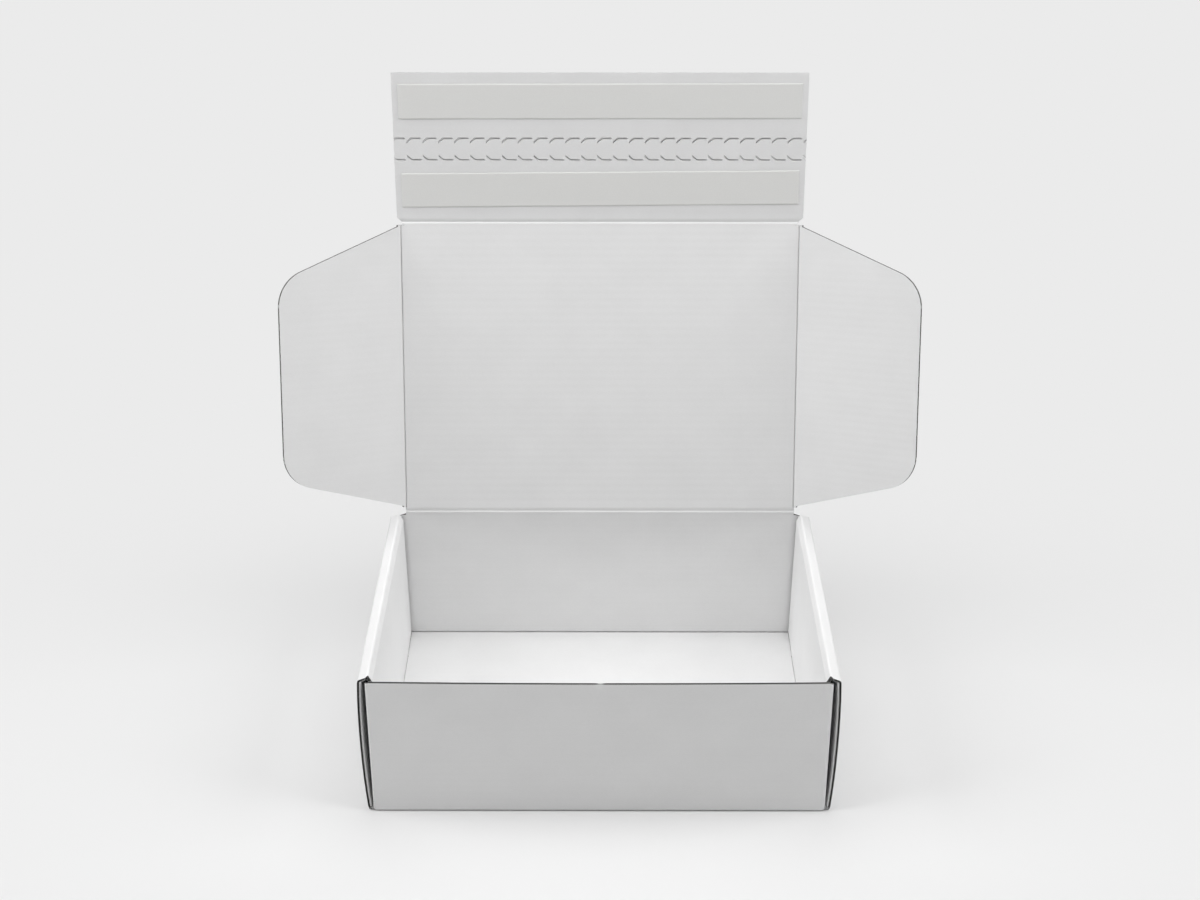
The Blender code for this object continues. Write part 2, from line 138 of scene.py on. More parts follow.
# Tear strip and closure strips on the closing flap
TEAR_LINES = ((54.0 * MM, -1), (72.6 * MM, 1))  # distance from the crease, and slant
TEAR_CUTS = 26
TEAR_SHIFT = -3.4 * MM
CUT_BRIDGE = 2.0 * MM
CUT_RISE = 3.5 * MM
CUT_KNEE = 3.4 * MM
CUT_WIDTH = 0.5 * MM
CUT_RUN = 5.6 * MM
CUT_SAG = 0.1 * MM
KNEE_SHIFT = 0.5 * MM
LIP_WIDTH = (0.1 * MM, 1.1 * MM)
LIP_DEPTH = 1.0 * MM
STRIP_SIZE = (343.4 * MM, 30.0 * MM)
ADHESIVE_TOP = 0.5 * MM
PAPER = 0.12 * MM
PAPER_GAP = 0.14 * MM
PAPER_RIPPLE = (0.07 * MM, 47.0, 30.0)  # height, radians a metre along, and of its place
PAPER_RIM = (1.1 * MM, 0.42 * MM)  # width of its pressed edge, and fall
# Which strip, its middle's distance from the crease, and how far it is skewed in degrees
CLOSURE_STRIPS = (("lower", 28.8 * MM, 0.5), ("upper", 104.8 * MM, 0.1))

# Sizes of the paper's patterns on the blank. Its real fibres are some 0.03 mm wide, too fine to
# show, so they are drawn as the clumps that they felt into
FIBRE_CLUMP = (2.381 * MM, 1.111 * MM)
PAPER_CLOUD = (45.45 * MM, 38.46 * MM)

# Backdrop colour, and where the floor fades into it, in metres from a place in front of the box
BACKDROP = "#ebebeb"
FLOOR_HALF = 6.0
FADE_CENTRE_Y = -0.3
FADE_START, FADE_END = 0.1, 1.0

# Places along the flat blank, from the middle of the base
BLANK_HINGE = WALL_Y + HINGE.z - HALF_BOARD - FOOT_RADIUS * (2 - math.pi / 2)
BLANK_LID_END = BLANK_HINGE + LID_LENGTH


def linear(hex_colour):
    """An sRGB hex colour as linear red, green, blue and alpha."""
    channels = [int(hex_colour[i:i + 2], 16) / 255 for i in (1, 3, 5)]
    return [c / 12.92 if c <= 0.04045 else ((c + 0.055) / 1.055) ** 2.4 for c in channels] + [1.0]


def add(tree, kind, settings=None, links=None, **properties):
    """A shader node with its properties, input values and links into its inputs."""
    made = tree.nodes.new(kind)
    for name, value in properties.items():
        setattr(made, name, value)
    for name, value in (settings or {}).items():
        made.inputs[name].default_value = value
    for name, source in (links or {}).items():
        tree.links.new(source, made.inputs[name])
    return made


def new_material(name):
    """A material with an empty tree and its output."""
    made = bpy.data.materials.new(name)
    made.use_nodes = True
    made.node_tree.nodes.clear()
    output = add(made.node_tree, "ShaderNodeOutputMaterial")
    return made, made.node_tree, output


# ---------------------------------------------------------------- materials


def blank_place(tree, cell=(1.0, 1.0)):
    """Place on the flat blank, counted in cells of a size in metres across and along it."""
    uv = add(tree, "ShaderNodeUVMap", uv_map="blank")
    place = add(
        tree,
        "ShaderNodeMapping",
        {"Scale": (1 / cell[0], 1 / cell[1], 1.0)},
        {"Vector": uv.outputs["UV"]},
    )
    return place.outputs["Vector"]


def cut_lips(tree):
    """How far the knife has pressed the paper in beside the tear strip's cuts, from 0 to 1.

    The two rows of cuts mirror each other about the middle of the tear strip, and each tooth is
    a slant from its tip to its knee and a straight run."""
    pitch = 2 * CLOSING_FLAP_HALF / TEAR_CUTS
    middle = BLANK_LID_END + (TEAR_LINES[0][0] + TEAR_LINES[1][0]) / 2
    half_gap = (TEAR_LINES[1][0] - TEAR_LINES[0][0]) / 2
    place = add(tree, "ShaderNodeSeparateXYZ", links={"Vector": blank_place(tree)})
    tooth = add(
        tree,
        "ShaderNodeMath",
        {1: pitch * TEAR_CUTS - CUT_BRIDGE / 2 - TEAR_SHIFT},
        {0: place.outputs["X"]},
        operation="ADD",
    )
    tooth = add(tree, "ShaderNodeMath", {1: pitch}, {0: tooth.outputs["Value"]}, operation="MODULO")
    row = add(tree, "ShaderNodeMath", {1: middle}, {0: place.outputs["Y"]}, operation="SUBTRACT")
    row = add(tree, "ShaderNodeMath", links={0: row.outputs["Value"]}, operation="ABSOLUTE")
    row = add(
        tree, "ShaderNodeMath", {1: half_gap}, {0: row.outputs["Value"]}, operation="SUBTRACT"
    )
    here = add(
        tree,
        "ShaderNodeCombineXYZ",
        links={"X": tooth.outputs["Value"], "Y": row.outputs["Value"]},
    )
    nearest = None
    knee = Vector((CUT_KNEE + KNEE_SHIFT, 0.0, 0.0))
    for start, end in (
        (Vector((0.0, -CUT_RISE, 0.0)), knee),
        (knee, Vector((pitch - CUT_BRIDGE, 0.0, 0.0))),
    ):
        run = end - start
        from_start = add(
            tree,
            "ShaderNodeVectorMath",
            {1: start},
            {0: here.outputs["Vector"]},
            operation="SUBTRACT",
        )
        along = add(
            tree,
            "ShaderNodeVectorMath",
            {1: run / run.length_squared},
            {0: from_start.outputs["Vector"]},
            operation="DOT_PRODUCT",
        )
        share = add(tree, "ShaderNodeClamp", links={"Value": along.outputs["Value"]})
        foot = add(
            tree,
            "ShaderNodeVectorMath",
            {0: run},
            {"Scale": share.outputs["Result"]},
            operation="SCALE",
        )
        gap = add(
            tree,
            "ShaderNodeVectorMath",
            links={0: from_start.outputs["Vector"], 1: foot.outputs["Vector"]},
            operation="DISTANCE",
        )
        if nearest:
            nearest = add(
                tree,
                "ShaderNodeMath",
                links={0: nearest.outputs["Value"], 1: gap.outputs["Value"]},
                operation="MINIMUM",
            )
        else:
            nearest = gap
    return add(
        tree,
        "ShaderNodeMapRange",
        {"From Min": LIP_WIDTH[0], "From Max": LIP_WIDTH[1], "To Min": 1.0, "To Max": 0.0},
        {"Value": nearest.outputs["Value"]},
        interpolation_type="SMOOTHERSTEP",
    )


def bleached_liner(name, perforated=False):
    """Bleached kraft liner, machine-calendered: matte white paper whose fibres and faint
    washboard lines over the flutes show when light grazes it."""
    material, tree, output = new_material(name)
    fibre = add(
        tree,
        "ShaderNodeTexNoise",
        {"Scale": 1.0, "Detail": 4.0, "Roughness": 0.6},
        {"Vector": blank_place(tree, FIBRE_CLUMP)},
    )
    cloud = add(
        tree,
        "ShaderNodeTexNoise",
        {"Scale": 1.0, "Detail": 3.0, "Roughness": 0.55},
        {"Vector": blank_place(tree, PAPER_CLOUD)},
    )
    along = add(tree, "ShaderNodeSeparateXYZ", links={"Vector": blank_place(tree)})
    phase = add(
        tree,
        "ShaderNodeMath",
        {1: 2 * math.pi / FLUTE_PITCH},
        {0: along.outputs["Y"]},
        operation="MULTIPLY",
    )
    wave = add(tree, "ShaderNodeMath", links={0: phase.outputs["Value"]}, operation="SINE")
    tone = add(
        tree,
        "ShaderNodeMapRange",
        {"From Min": 0.3, "From Max": 0.7, "To Min": 0.0, "To Max": 1.0},
        {"Value": cloud.outputs["Fac"]},
    )
    base = add(
        tree,
        "ShaderNodeMix",
        {"A": linear("#e8e8e8"), "B": linear("#ebebeb")},
        {"Factor": tone.outputs["Result"]},
        data_type="RGBA",
    )
    flecks = add(
        tree,
        "ShaderNodeMapRange",
        {"From Min": 0.35, "From Max": 0.75, "To Min": 0.985, "To Max": 1.01},
        {"Value": fibre.outputs["Fac"]},
    )
    colour = add(
        tree,
        "ShaderNodeMix",
        {"Factor": 1.0},
        {"A": base.outputs["Result"], "B": flecks.outputs["Result"]},
        data_type="RGBA",
        blend_type="MULTIPLY",
    )
    washboard = add(
        tree,
        "ShaderNodeBump",
        {"Strength": 1.0, "Distance": 0.016 * MM},
        {"Height": wave.outputs["Value"]},
    )
    sag = add(
        tree,
        "ShaderNodeBump",
        {"Strength": 1.0, "Distance": 0.25 * MM},
        {"Height": cloud.outputs["Fac"], "Normal": washboard.outputs["Normal"]},
    )
    fibres = add(
        tree,
        "ShaderNodeBump",
        {"Strength": 0.5, "Distance": 0.02 * MM},
        {"Height": fibre.outputs["Fac"], "Normal": sag.outputs["Normal"]},
    )
    relief = fibres
    if perforated:
        relief = add(
            tree,
            "ShaderNodeBump",
            {"Strength": 1.0, "Distance": LIP_DEPTH},
            {"Height": cut_lips(tree).outputs["Result"], "Normal": fibres.outputs["Normal"]},
            invert=True,
        )
    surface = add(
        tree,
        "ShaderNodeBsdfPrincipled",
        {"Roughness": 0.7, "IOR": 1.45, "Specular IOR Level": 0.35},
        {"Base Color": colour.outputs["Result"], "Normal": relief.outputs["Normal"]},
    )
    tree.links.new(surface.outputs["BSDF"], output.inputs["Surface"])
    return material


def plain_paper(name, dark, light, roughness, grain):
    """Paper or film with a soft grain of a size in metres, its two tones mixed by its clumps."""
    material, tree, output = new_material(name)
    coordinates = add(tree, "ShaderNodeTexCoord")
    clumps = add(
        tree,
        "ShaderNodeTexNoise",
        {"Scale": 1.0 / grain, "Detail": 4.0, "Roughness": 0.65},
        {"Vector": coordinates.outputs["Object"]},
    )
    spread = add(
        tree,
        "ShaderNodeMapRange",
        {"From Min": 0.3, "From Max": 0.7, "To Min": 0.0, "To Max": 1.0},
        {"Value": clumps.outputs["Fac"]},
    )
    colour = add(
        tree,
        "ShaderNodeMix",
        {"A": linear(dark), "B": linear(light)},
        {"Factor": spread.outputs["Result"]},
        data_type="RGBA",
    )
    relief = add(
        tree,
        "ShaderNodeBump",
        {"Strength": 0.6, "Distance": 0.03 * MM},
        {"Height": clumps.outputs["Fac"]},
    )
    surface = add(
        tree,
        "ShaderNodeBsdfPrincipled",
        {"Roughness": roughness, "IOR": 1.45, "Specular IOR Level": 0.3},
        {"Base Color": colour.outputs["Result"], "Normal": relief.outputs["Normal"]},
    )
    tree.links.new(surface.outputs["BSDF"], output.inputs["Surface"])
    return material


# White liners. The closing flap's also has the lips that the perforating knife leaves
WHITE_LINER = bleached_liner("bleached_kraft_liner")
PERFORATED_LINER = bleached_liner("perforated_kraft_liner", perforated=True)
# Back of the liner: the unbleached side that is glued to the flutes. Its grey is the paper's own
# tone, darkened further as painted shade in the flute channels
LINER_BACK_WITH_PAINTED_SHADE = plain_paper("liner_back_painted_shade", "#6a6967", "#7a7977", 0.85, 1.2 * MM)
# Cut edge of the liner: torn fibres along a knife cut
CUT_EDGE = plain_paper("knife_cut_paper_edge", "#c2c2c1", "#d4d4d3", 0.9, 0.5 * MM)
# Medium: semi-chemical fluting paper, pressed to a wave. Its grey is the paper's own tone, darkened
# further as painted shade in the flute channels
FLUTING_WITH_PAINTED_SHADE = plain_paper("semi_chemical_fluting_painted_shade", "#4c4b4a", "#5c5b5a", 0.9, 0.9 * MM)
BOARD_FINISH = (WHITE_LINER, LINER_BACK_WITH_PAINTED_SHADE, CUT_EDGE, FLUTING_WITH_PAINTED_SHADE)
# Release liner: supercalendered paper with a silicone coat, smoother than the board
RELEASE_PAPER = plain_paper("silicone_release_paper", "#e3e3e1", "#e7e7e5", 0.45, 0.8 * MM)
# Adhesive: hot melt, extruded warm as a thin creamy film that stays tacky
ADHESIVE = plain_paper("hot_melt_adhesive", "#d9d2bc", "#e2dcc8", 0.3, 3.0 * MM)


# ---------------------------------------------------------------- folding


def between(value, low, high):
    """How far a value is from low to high, from 0 to 1."""
    return min(1.0, max(0.0, (value - low) / (high - low)))


def follow(table, value):
    """A value read off a table of (place, value) pairs with straight lines between."""
    for (start, low), (end, high) in zip(table, table[1:]):
        if value <= end:
            return low + (high - low) * between(value, start, end)
    return table[-1][1]


class Section:
    """The middle of a folded sheet seen from its end: straight runs with round bends between.

    A tight bend crushes the board from the inside, as the crease rule does."""

    def __init__(self, points, radii):
        points = [Vector(point) for point in points]
        self.parts = []
        self.levels = [0.0]
        self.corners = []
        self.crushed = []
        here, distance = points[0], 0.0
        for before, corner, after, radius in zip(points, points[1:], points[2:], radii):
            arriving, leaving = (corner - before).normalized(), (after - corner).normalized()
            cross = arriving.x * leaving.y - arriving.y * leaving.x
            turn = math.atan2(cross, arriving.dot(leaving))
            trim = radius * math.tan(abs(turn) / 2)
            bend_start = corner - arriving * trim
            self.parts.append((distance, here, arriving, 0.0))
            distance += (bend_start - here).length
            self.parts.append((distance, bend_start, arriving, math.copysign(1 / radius, turn)))
            arc = radius * abs(turn)
            steps = max(1, math.ceil(abs(turn) / BEND_STEP))
            self.levels += [distance + arc * i / steps for i in range(steps + 1)]
            self.corners.append((distance, distance + arc))
            self.levels += [distance - BEND_SUPPORT, distance + arc + BEND_SUPPORT]
            if radius < HALF_BOARD and abs(turn) > TIGHT_TURN:
                self.crushed.append((distance, distance + arc))
                for share in (0.35, 0.6, 0.8, 1.0):
                    self.levels.append(distance - share * CRUSH_REACH)
                    self.levels.append(distance + arc + share * CRUSH_REACH)
            distance += arc
            here = corner + leaving * trim
        self.parts.append((distance, here, (points[-1] - points[-2]).normalized(), 0.0))
        self.end = distance + (points[-1] - here).length
        self.levels.append(self.end)
        self.levels = sorted(value for value in self.levels if value <= self.end)

    def crush(self, distance, offset):
        """An offset in the board, squeezed to the outside where it lies in a tight bend."""
        for start, end in self.crushed:
            away = max(start - distance, distance - end, 0.0)
            share = 1 - between(away, 0.0, CRUSH_REACH)
            offset -= (offset + HALF_BOARD) * (1 - CRUSHED_SHARE) * share * share * (3 - 2 * share)
        return offset

    def place(self, distance, offset):
        """The point at a distance along the section, offset to its left, which is the inside."""
        start, point, heading, curvature = self.parts[0]
        for part in self.parts:
            if part[0] <= distance + 1e-9:
                start, point, heading, curvature = part
        run = distance - start
        left = Vector((-heading.y, heading.x))
        offset = self.crush(distance, offset)
        if curvature:
            angle = run * curvature
            along = heading * math.cos(angle) + left * math.sin(angle)
            ahead, aside = math.sin(angle) / curvature, (1 - math.cos(angle)) / curvature
            middle = point + heading * ahead + left * aside
            return middle + Vector((-along.y, along.x)) * offset
        return point + heading * run + left * offset


END_WALL = Section([(0.0, HALF_BOARD), (WALL_Y, HALF_BOARD), (WALL_Y, WALL_RUN)], [FOOT_RADIUS])
CORNER_TAB = Section([(0.0, 0.0), (TAB_X, 0.0), (TAB_X, TAB_LENGTH)], [CORNER_RADIUS])
SIDE_WALL = Section(
    [
        (0.0, HALF_BOARD),
        (OUTER_WALL_X, HALF_BOARD),
        OUTER_CREASE,
        ROLL_TOP,
        ROLL_SHOULDER,
        (INNER_WALL_X, INNER_WALL_FOOT),
        (INNER_WALL_X, LOCK_TAB_FOOT),
    ],
    [FOOT_RADIUS, ROLL_RADIUS, ROLL_INNER_RADIUS, ROLL_INNER_RADIUS, ROLL_RADIUS],
)


def wall_distance(height):
    """Distance along the blank of a height on the front or back wall."""
    return END_WALL.corners[0][1] + height - HALF_BOARD - FOOT_RADIUS


def wave(v):
    """Height of the fluting medium at a place along the blank."""
    return FLUTE_SWING * math.cos(2 * math.pi * (v - FLUTE_START) / FLUTE_PITCH)


def fold_end_wall(u, v, w):
    """From the flat blank to a front or back wall with its corner tabs, or the base. The front
    wall leans and bulges forwards a little, as it is held at its ends only, and the knife has
    pinched its top edge at one place."""
    if v < 0:
        start, end = wall_distance(WALL_TOP - PINCH_REACH), wall_distance(WALL_TOP - FRONT_TRIM)
        near = math.exp(-(((u - EDGE_PINCH[0]) / EDGE_PINCH[1]) ** 2))
        w *= 1 - PINCH_SHARE * between(abs(v), start, end) * near
    across = CORNER_TAB.place(abs(u), w)
    along = END_WALL.place(abs(v), across.y)
    place = Vector((math.copysign(across.x, u), math.copysign(along.x, v), along.y))
    if v < 0:
        height = between(abs(v), END_WALL.corners[0][1], wall_distance(WALL_TOP))
        middle = max(0.0, 1 - (u / TAB_X) ** 2)
        place.y -= (FRONT_BULGE[0] + FRONT_BULGE[1] * middle) * height
    return place


def fold_side_wall(u, v, w):
    """From the flat blank to a rolled side wall, whose outer layer bows outwards and is
    crushed a little at its cut ends."""
    start, end = SIDE_WALL.corners[0][1], SIDE_WALL.corners[1][0]
    bow = OUTER_WALL_BOW * math.sin(math.pi * between(abs(u), start, end)) ** BOW_POWER
    if abs(u) > start:
        press = 1 - between(SIDE_END - abs(v), 0.0, EDGE_CRUSH_REACH)
        w -= (w + HALF_BOARD) / BOARD * EDGE_CRUSH * press * press
    place = SIDE_WALL.place(abs(u), w)
    if bow:
        place.x += bow
    return Vector((math.copysign(place.x, u), v, place.y))


def panel_fold(origin, across, along, inside, centre_u, centre_v):
    """A fold for a flat flap: the frame that its part of the blank is laid on."""

    def fold(u, v, w):
        return origin + across * (u - centre_u) + along * (v - centre_v) + inside * w

    return fold


# ---------------------------------------------------------------- board


def sheet(bm, u_levels, v_levels, keep=None, limit=None):
    """A flat grid on given levels of the blank, less the cells that aren't kept, its ends
    pulled in to the outline."""
    columns, rows = len(u_levels) - 1, len(v_levels) - 1
    made = bmesh.ops.create_grid(bm, x_segments=columns, y_segments=rows, size=1.0)
    verts = made["verts"]
    for vert in verts:
        column = round((vert.co.x + 1) / 2 * columns)
        row = round((vert.co.y + 1) / 2 * rows)
        vert.co = (u_levels[column], v_levels[row], 0.0)
    if keep:
        faces = {face for vert in verts for face in vert.link_faces}
        spare = [face for face in faces if not keep(*face.calc_center_median()[:2])]
        bmesh.ops.delete(bm, geom=spare, context="FACES")
    if limit:
        for vert in [vert for vert in verts if vert.is_valid]:
            vert.co = (*limit(*vert.co[:2]), 0.0)


def levels(*groups):
    """Sorted levels from several lists, with near-equal ones merged."""
    found = []
    for value in sorted(value for group in groups for value in group):
        if not found or value - found[-1] > SAME:
            found.append(value)
    return found


def flute_levels(low, high, samples):
    """Levels that follow the flutes between two places along the blank, so many to a flute."""
    step = FLUTE_PITCH / samples
    first = math.ceil((low - FLUTE_START) / step - 1e-6)
    last = math.floor((high - FLUTE_START) / step + 1e-6)
    return [i * step + FLUTE_START for i in range(first, last + 1)]


def layer(regions, samples, fluted, bottom, thickness, white_top):
    """One paper layer of the board over all its regions, as a closed flat solid."""
    bm = bmesh.new()
    for u_levels, v_levels, keep, limit in regions:
        if fluted:
            v_levels = levels(v_levels, flute_levels(v_levels[0], v_levels[-1], samples))
        sheet(bm, u_levels, v_levels, keep, limit)
    bmesh.ops.remove_doubles(bm, verts=bm.verts, dist=SAME / 4)
    bmesh.ops.dissolve_degenerate(bm, edges=bm.edges, dist=SAME / 4)
    for vert in bm.verts:
        vert.co.z = wave(vert.co.y) + bottom if fluted else bottom
    made = bmesh.ops.extrude_face_region(bm, geom=bm.faces[:])
    raised = [item for item in made["geom"] if isinstance(item, bmesh.types.BMVert)]
    bmesh.ops.translate(bm, verts=raised, vec=(0.0, 0.0, thickness))
    bmesh.ops.recalc_face_normals(bm, faces=bm.faces)
    for face in bm.faces:
        face.smooth = True
        if abs(face.normal.z) < 0.3:
            face.material_index = 2
        elif fluted:
            face.material_index = 3
        else:
            face.material_index = 0 if (face.normal.z > 0) == white_top else 1
    return bm


def cut_through(mesh, cutter):
    """The mesh less a cutter's solids, by Boolean."""
    holder = bpy.data.objects.new("holder", mesh)
    blade = bpy.data.objects.new("blade", cutter)
    for thing in (holder, blade):
        bpy.context.scene.collection.objects.link(thing)
        thing.data.materials.clear()
        for finish in BOARD_FINISH:
            thing.data.materials.append(finish)
    cut = holder.modifiers.new("cut", "BOOLEAN")
    cut.operation = "DIFFERENCE"
    cut.solver = "EXACT"
    cut.object = blade
    evaluated = holder.evaluated_get(bpy.context.evaluated_depsgraph_get())
    result = bpy.data.meshes.new_from_object(evaluated)
    bpy.data.objects.remove(holder)
    bpy.data.objects.remove(blade)
    bpy.data.meshes.remove(mesh)
    return result


def flat_board(name, regions, cutter=None, samples=FLUTE_SAMPLES):
    """Both liners and the fluting of a piece of board, flat, in one mesh."""
    whole = bmesh.new()
    for settings in (
        (False, HALF_BOARD - LINER, LINER, True),
        (False, -HALF_BOARD, LINER, False),
        (True, -MEDIUM / 2, MEDIUM, True),
    ):
        part = layer(regions, samples, *settings)
        spare = bpy.data.meshes.new("layer")
        part.to_mesh(spare)
        part.free()
        if cutter:
            spare = cut_through(spare, cutter)
        whole.from_mesh(spare)
        bpy.data.meshes.remove(spare)
    mesh = bpy.data.meshes.new(name)
    whole.to_mesh(mesh)
    whole.free()
    mesh.set_sharp_from_angle(angle=math.radians(40))
    return mesh


def folded(name, mesh, fold, finishes):
    """An object from a flat mesh: its place on the blank is kept as a UV map, then it is folded."""
    uv = mesh.uv_layers.new(name="blank")
    flat = [vert.co.copy() for vert in mesh.vertices]
    places = []
    for loop in mesh.loops:
        places += flat[loop.vertex_index][:2]
    uv.data.foreach_set("uv", places)
    for vert, place in zip(mesh.vertices, flat):
        vert.co = fold(*place)
    for finish in finishes:
        mesh.materials.append(finish)
    made = bpy.data.objects.new(name, mesh)
    bpy.context.scene.collection.objects.link(made)
    return made


# ---------------------------------------------------------------- tray


def mirrored(values):
    """Values on both sides of the middle."""
    return [-value for value in values] + list(values)


def front_lift_levels():
    """Levels along the blank where the base rises to its front fold."""
    return [-(WALL_Y - FRONT_LIFT_REACH * step / 6) for step in range(1, 7)]


def base_and_end_walls():
    """Region of the base, the front wall and the back wall."""
    slot_u = [INNER_WALL_X - HALF_BOARD - SLOT_GAP, INNER_WALL_X + HALF_BOARD + SLOT_GAP]
    slot_v = [
        LOCK_TAB_CENTRE - LOCK_TAB_HALF - SLOT_GAP,
        LOCK_TAB_CENTRE + LOCK_TAB_HALF + SLOT_GAP,
    ]
    base_edge = SIDE_WALL.corners[0][0]
    wall_edge = CORNER_TAB.corners[0][0]
    fold_start = END_WALL.corners[0][0]
    fold_levels = [value for value in END_WALL.levels if 0 < value < wall_distance(WALL_TOP)]
    back_top = BLANK_HINGE - CREASE_REACH
    pinch = [EDGE_PINCH[0] + EDGE_PINCH[1] * step for step in (-2, -1.3, -0.6, 0, 0.6, 1.3, 2)]
    pinch_foot = WALL_TOP - PINCH_REACH
    tab_levels = [value for value in CORNER_TAB.levels if 0 < value < wall_edge]
    bulge_steps = [wall_edge * i / 8 for i in range(8)]
    across = [base_edge, LIP_END, wall_edge, *tab_levels, *slot_u, *bulge_steps]
    u_levels = levels(mirrored(across), pinch)
    v_levels = levels(
        mirrored([*slot_v, *fold_levels, wall_distance(TAB_FOOT)]),
        [-wall_distance(WALL_TOP - FRONT_TRIM), -wall_distance(TAB_TOP - FRONT_TRIM)],
        [-wall_distance(pinch_foot), -wall_distance(pinch_foot - BEND_SUPPORT)],
        [wall_distance(TAB_TOP), back_top],
        front_lift_levels(),
    )

    def keep(u, v):
        if abs(v) > fold_start:
            return abs(u) < (LIP_END if abs(v) < wall_distance(TAB_FOOT) else wall_edge)
        in_slot = slot_u[0] < abs(u) < slot_u[1] and slot_v[0] < abs(v) < slot_v[1]
        return not in_slot

    def limit(u, v):
        if v < 0 or abs(u) > wall_edge:
            return u, v
        notch = between(v, wall_distance(TAB_TOP), back_top)
        most = wall_edge + (LID_CREASE_HALF - wall_edge) * notch
        return (math.copysign(min(abs(u), most), u) if notch else u), v

    return u_levels, v_levels, keep, limit


def corner_tab(side, facing):
    """Region of a corner tab on one end of the front (-1) or back (1) wall."""
    start, end = CORNER_TAB.corners[0][0], CORNER_TAB.end
    arc = [end - TAB_CORNER * (1 - math.sin(math.radians(angle))) for angle in CORNER_ANGLES]
    bend = [value for value in CORNER_TAB.levels if value >= start]
    reach = levels(bend, arc, [start + TAB_SLOPE[0]])
    low = wall_distance(TAB_FOOT)
    high = wall_distance(TAB_TOP - (FRONT_TRIM if facing < 0 else 0.0))
    u_levels = sorted(side * value for value in reach)
    v_levels = sorted(facing * value for value in (low, high))

    def limit(u, v):
        into = between(abs(u), end - TAB_CORNER, end)
        trim = TAB_CORNER * (1 - math.sqrt(max(0.0, 1 - into ** 2)))
        fall = TAB_SLOPE[1] * between(abs(u), start, start + TAB_SLOPE[0])
        return u, facing * min(max(abs(v), low + trim), high - trim - fall)

    return u_levels, v_levels, None, limit


def side_wall(side):
    """Region of a side wall: outer layer, top strip, inner layer and its lock tabs."""
    foot, outer, inner, _, base_end = SIDE_WALL.corners
    bow_steps = [foot[1] + (outer[0] - foot[1]) * i / 8 for i in range(1, 8)]
    relief = foot[1] + CORNER_RELIEF
    outer_step = outer[0] + (outer[1] - outer[0]) / 4
    inner_step = inner[0] + (inner[1] - inner[0]) / 2
    wall_foot = base_end[0]
    reach = levels(
        [value for value in SIDE_WALL.levels if value >= foot[0] - SAME],
        bow_steps,
        [relief, outer_step, inner_step],
    )
    u_levels = sorted(side * value for value in reach)
    start_v = END_WALL.corners[0][0]
    corner = [(foot[1], start_v), (relief, SIDE_END)]
    front = [*corner, (inner[0], SIDE_END), (inner_step, INNER_END)]
    back = [*corner, (outer[0], SIDE_END), (outer_step, INNER_BACK_END)]
    tab = (LOCK_TAB_CENTRE - LOCK_TAB_HALF, LOCK_TAB_CENTRE + LOCK_TAB_HALF)
    crushed_v = [SIDE_END - EDGE_CRUSH_REACH * share for share in (0.3, 0.6, 1.0)]
    lift_v = [tab[1] + (INNER_BACK_END - tab[1]) * i / 5 for i in range(1, 6)]
    v_levels = levels(mirrored([*tab, start_v, SIDE_END, *crushed_v]), lift_v, front_lift_levels())

    def keep(u, v):
        return abs(u) < wall_foot or tab[0] < abs(v) < tab[1]

    def limit(u, v):
        if abs(abs(u) - wall_foot) < SAME and not tab[0] - SAME < abs(v) < tab[1] + SAME:
            u -= side * FOOT_LIFT * between(v, tab[1], INNER_BACK_END)
        return u, min(max(v, -follow(front, abs(u))), follow(back, abs(u)))

    return u_levels, v_levels, keep, limit


def make_tray():
    """The whole tray as one sheet. Its regions share their edges on the blank."""
    spine = [base_and_end_walls()]
    tabs = [corner_tab(side, facing) for side in (-1, 1) for facing in (-1, 1)]
    sides = [side_wall(side) for side in (-1, 1)]
    side_start = SIDE_WALL.corners[0][0]

    def fold(u, v, w):
        if abs(u) >= side_start - SAME and abs(v) < SIDE_END + SAME:
            place = fold_side_wall(u, v, w)
        else:
            place = fold_end_wall(u, v, w)
        rise = between(-place.y, WALL_Y - FRONT_LIFT_REACH, WALL_Y)
        low = 1 - between(place.z, 0.0, WALL_TOP)
        place.z += FRONT_LIFT * rise * rise * low
        place.y -= FRONT_FOOT * rise * low
        return place

    mesh = flat_board("tray_board", spine + tabs + sides, samples=TRAY_FLUTE_SAMPLES)
    tray = folded("tray_board", mesh, fold, BOARD_FINISH)
    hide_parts("tray")
    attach(tray, "tray")
    return tray


# ---------------------------------------------------------------- lid and flaps

RIGHT = Vector((1.0, 0.0, 0.0))
LID_ALONG = Vector((0.0, math.sin(LID_LEAN), math.cos(LID_LEAN)))
LID_INSIDE = Vector((0.0, -math.cos(LID_LEAN), math.sin(LID_LEAN)))
FLAP_LEAN = LID_LEAN - CLOSING_FLAP_FOLD
FLAP_ALONG = Vector((0.0, math.sin(FLAP_LEAN), math.cos(FLAP_LEAN)))
FLAP_INSIDE = Vector((0.0, -math.cos(FLAP_LEAN), math.sin(FLAP_LEAN)))
LID_END = HINGE + LID_ALONG * LID_LENGTH


def dust_directions(side):
    """Directions away from the lid and to the inside, for a folded dust flap."""
    out = RIGHT * side * math.cos(DUST_FLAP_FOLD) + LID_INSIDE * math.sin(DUST_FLAP_FOLD)
    inside = LID_INSIDE * math.cos(DUST_FLAP_FOLD) - RIGHT * side * math.sin(DUST_FLAP_FOLD)
    return out, inside


def finish_board(made, body, node):
    """The piece rides on its body in place of its CAD node."""
    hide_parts(node)
    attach(made, body)
    return made


def make_lid():
    """The lid panel between its four creases."""
    edge = DUST_HINGE_X - CREASE_REACH
    region = (
        [-edge, edge],
        [BLANK_HINGE + CREASE_REACH, BLANK_LID_END - CREASE_REACH],
        None,
        None,
    )
    fold = panel_fold(HINGE, RIGHT, LID_ALONG, LID_INSIDE, 0.0, BLANK_HINGE)
    made = folded("lid_board", flat_board("lid_board", [region]), fold, BOARD_FINISH)
    return finish_board(made, "lid", "lid_panel")


